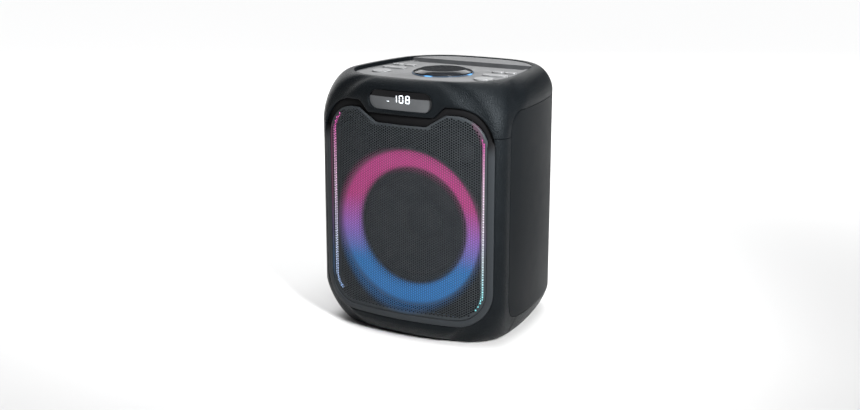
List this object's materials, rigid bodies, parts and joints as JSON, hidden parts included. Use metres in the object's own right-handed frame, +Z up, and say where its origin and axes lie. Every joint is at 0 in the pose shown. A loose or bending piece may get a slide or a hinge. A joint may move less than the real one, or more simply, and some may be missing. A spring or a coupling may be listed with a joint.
{
  "type": "party speaker",
  "caption": "Portable party speaker with a bowed perforated front, a lit ring round the woofer, side light strips, a small display and a top panel with a dial and push buttons.",
  "frame": {"origin": "on the ground, under the middle of the speaker's overall box", "axes": "+Z up, the grille faces -Y, +X to the right when the grille is looked at from the front"},
  "size_m": [0.249, 0.234, 0.31],
  "materials": {
    "grained_plastic": "fine grained moulding, satin",
    "smooth_plastic": "smooth satin moulding",
    "trim_plastic": "satin charcoal",
    "grille_metal": "perforated sheet, satin black paint",
    "inner_plastic": "plain moulding",
    "gloss_lens": "polished dark lens",
    "panel_plastic": "satin sheen",
    "dial_finish": "dark metallised bevel",
    "button_plastic": "satin",
    "rubber": "matt",
    "cone_paper": "coated paper",
    "spider_cloth": "resin-dipped cloth",
    "basket_metal": "pressed steel, black paint",
    "heat_sink_metal": "extruded",
    "magnet_iron": "ferrite and steel",
    "coil_copper": "enamelled wire",
    "steel": "blackened",
    "board": "green solder mask",
    "battery_wrap": "heat-shrunk sleeve",
    "ring_glow": "milky light guide, lit",
    "strip_glow": "milky light guide, lit",
    "dial_glow": "clear light guide, lit"
  },
  "bodies": {
    "cabinet": {"top_cap": "grained_plastic", "front_frame": "grained_plastic", "base_pan": "grained_plastic", "rear_shell": "smooth_plastic", "grille_trim": "trim_plastic", "grille": "grille_metal", "grille_carrier": "inner_plastic", "front_baffle": "inner_plastic", "ring_light": "ring_glow", "light_strip_left": "strip_glow", "light_strip_right": "strip_glow", "woofer_basket": "basket_metal", "woofer_surround": "rubber", "woofer_spider": "spider_cloth", "woofer_magnet": "magnet_iron", "tweeter_left": "inner_plastic", "tweeter_right": "inner_plastic", "display_lens": "gloss_lens", "display_board": "board", "control_panel": "panel_plastic", "device_rest": "rubber", "control_board": "board", "dial_light_ring": "dial_glow", "dial_encoder": "steel", "jack_panel": "inner_plastic", "mic_socket": "inner_plastic", "aux_socket": "inner_plastic", "usb_socket": "steel", "power_inlet": "inner_plastic", "bass_port": "inner_plastic", "battery_pack": "battery_wrap", "amplifier_board": "board", "heat_sink": "heat_sink_metal", "base_screw_1": "steel", "jack_screw_1": "steel", "base_screw_2": "steel", "jack_screw_2": "steel", "base_screw_3": "steel", "jack_screw_3": "steel", "base_screw_4": "steel", "jack_screw_4": "steel", "foot_front_left": "rubber", "foot_front_right": "rubber", "foot_back_left": "rubber", "foot_back_right": "rubber"},
    "volume_dial": {"volume_dial": "dial_finish"},
    "woofer_cone": {"woofer_cone": "cone_paper", "woofer_dust_cap": "cone_paper", "voice_coil": "coil_copper"},
    "tweeter_dome_left": {"tweeter_dome_left": "cone_paper"},
    "tweeter_dome_right": {"tweeter_dome_right": "cone_paper"},
    "round_button_left": {"round_button_left": "button_plastic"},
    "long_button_left": {"long_button_left": "button_plastic"},
    "small_button_left_inner": {"small_button_left_inner": "button_plastic"},
    "small_button_left_outer": {"small_button_left_outer": "button_plastic"},
    "round_button_right": {"round_button_right": "button_plastic"},
    "long_button_right": {"long_button_right": "button_plastic"},
    "small_button_right_inner": {"small_button_right_inner": "button_plastic"},
    "small_button_right_outer": {"small_button_right_outer": "button_plastic"}
  },
  "joints": [
    {"name": "dial_turn", "type": "hinge", "parent": "cabinet", "child": "volume_dial", "pos_m": [0, -0.0105, 0.3055], "axis": [0, 0, 1], "continuous": true},
    {"name": "round_button_left_press", "type": "slide", "parent": "cabinet", "child": "round_button_left", "axis": [0, 0, -1], "range_m": [0, 0.0008], "stiffness_N_per_m": 1500, "springref_m": -0.0003},
    {"name": "long_button_left_press", "type": "slide", "parent": "cabinet", "child": "long_button_left", "axis": [0, 0, -1], "range_m": [0, 0.0008], "stiffness_N_per_m": 1500, "springref_m": -0.0003},
    {"name": "small_button_left_inner_press", "type": "slide", "parent": "cabinet", "child": "small_button_left_inner", "axis": [0, 0, -1], "range_m": [0, 0.0008], "stiffness_N_per_m": 1500, "springref_m": -0.0003},
    {"name": "small_button_left_outer_press", "type": "slide", "parent": "cabinet", "child": "small_button_left_outer", "axis": [0, 0, -1], "range_m": [0, 0.0008], "stiffness_N_per_m": 1500, "springref_m": -0.0003},
    {"name": "round_button_right_press", "type": "slide", "parent": "cabinet", "child": "round_button_right", "axis": [0, 0, -1], "range_m": [0, 0.0008], "stiffness_N_per_m": 1500, "springref_m": -0.0003},
    {"name": "long_button_right_press", "type": "slide", "parent": "cabinet", "child": "long_button_right", "axis": [0, 0, -1], "range_m": [0, 0.0008], "stiffness_N_per_m": 1500, "springref_m": -0.0003},
    {"name": "small_button_right_inner_press", "type": "slide", "parent": "cabinet", "child": "small_button_right_inner", "axis": [0, 0, -1], "range_m": [0, 0.0008], "stiffness_N_per_m": 1500, "springref_m": -0.0003},
    {"name": "small_button_right_outer_press", "type": "slide", "parent": "cabinet", "child": "small_button_right_outer", "axis": [0, 0, -1], "range_m": [0, 0.0008], "stiffness_N_per_m": 1500, "springref_m": -0.0003},
    {"name": "cone_stroke", "type": "slide", "parent": "cabinet", "child": "woofer_cone", "axis": [0, -1, 0], "range_m": [-0.003, 0.003], "stiffness_N_per_m": 1500},
    {"name": "tweeter_left_stroke", "type": "slide", "parent": "cabinet", "child": "tweeter_dome_left", "axis": [0, -1, 0], "range_m": [-0.0003, 0.0003], "stiffness_N_per_m": 1000},
    {"name": "tweeter_right_stroke", "type": "slide", "parent": "cabinet", "child": "tweeter_dome_right", "axis": [0, -1, 0], "range_m": [-0.0003, 0.0003], "stiffness_N_per_m": 1000}
  ]
}
